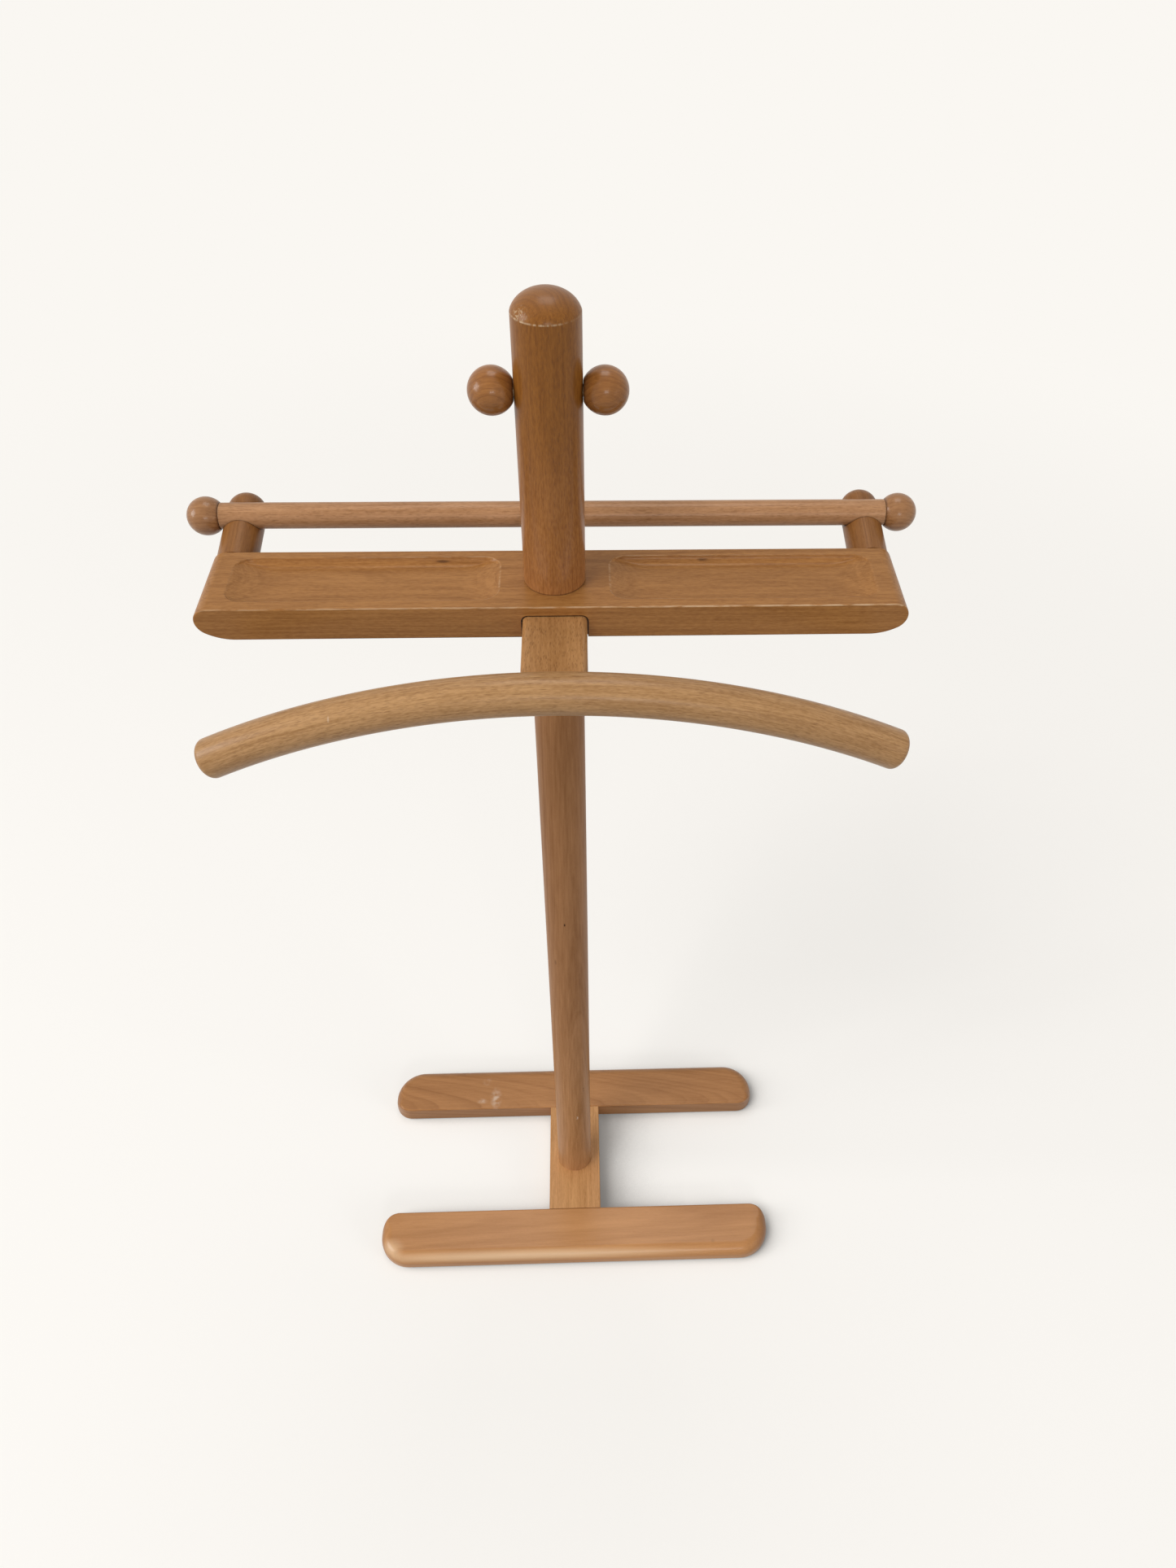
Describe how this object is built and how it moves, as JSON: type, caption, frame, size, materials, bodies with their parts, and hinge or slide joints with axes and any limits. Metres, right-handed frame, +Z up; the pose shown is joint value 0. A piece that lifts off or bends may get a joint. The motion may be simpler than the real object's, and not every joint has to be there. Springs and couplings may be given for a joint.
{
  "type": "valet stand",
  "caption": "Wooden valet stand: H-shaped base, round post with knobs, dished tray, arched coat hanger in front and trouser bar behind.",
  "frame": {"origin": "on the floor, at the middle of the base, under the post's axis", "axes": "+Z up the post, +X to the right side of the tray as seen from the hanger, -Y to the front, where the hanger is"},
  "size_m": [0.5662, 0.258, 1.127],
  "materials": {
    "beech": "satin lacquer on steamed beech",
    "dowel_wood": "bare beech",
    "zinc_steel": "zinc plated",
    "brass_insert": "plain",
    "felt": "pressed felt"
  },
  "bodies": {
    "root": {"front_foot_bar": "beech", "rear_foot_bar": "beech", "base_spine": "beech", "base_dowels": "dowel_wood", "floor_pads": "felt", "base_bolt": "zinc_steel", "base_washer": "zinc_steel", "post_foot_insert": "brass_insert", "lower_post": "beech", "post_top_insert": "brass_insert", "joining_stud": "zinc_steel", "tray": "beech", "hanger_bracket": "beech", "hanger_bar": "beech", "hanger_dowels": "dowel_wood", "upper_post": "beech", "upper_post_insert": "brass_insert", "left_knob": "beech", "right_knob": "beech", "knob_dowels": "dowel_wood", "left_arm": "beech", "right_arm": "beech", "arm_dowels": "dowel_wood", "trouser_bar": "beech", "left_bar_ball": "beech", "right_bar_ball": "beech", "ball_dowels": "dowel_wood", "bar_screws": "zinc_steel"}
  },
  "joints": []
}
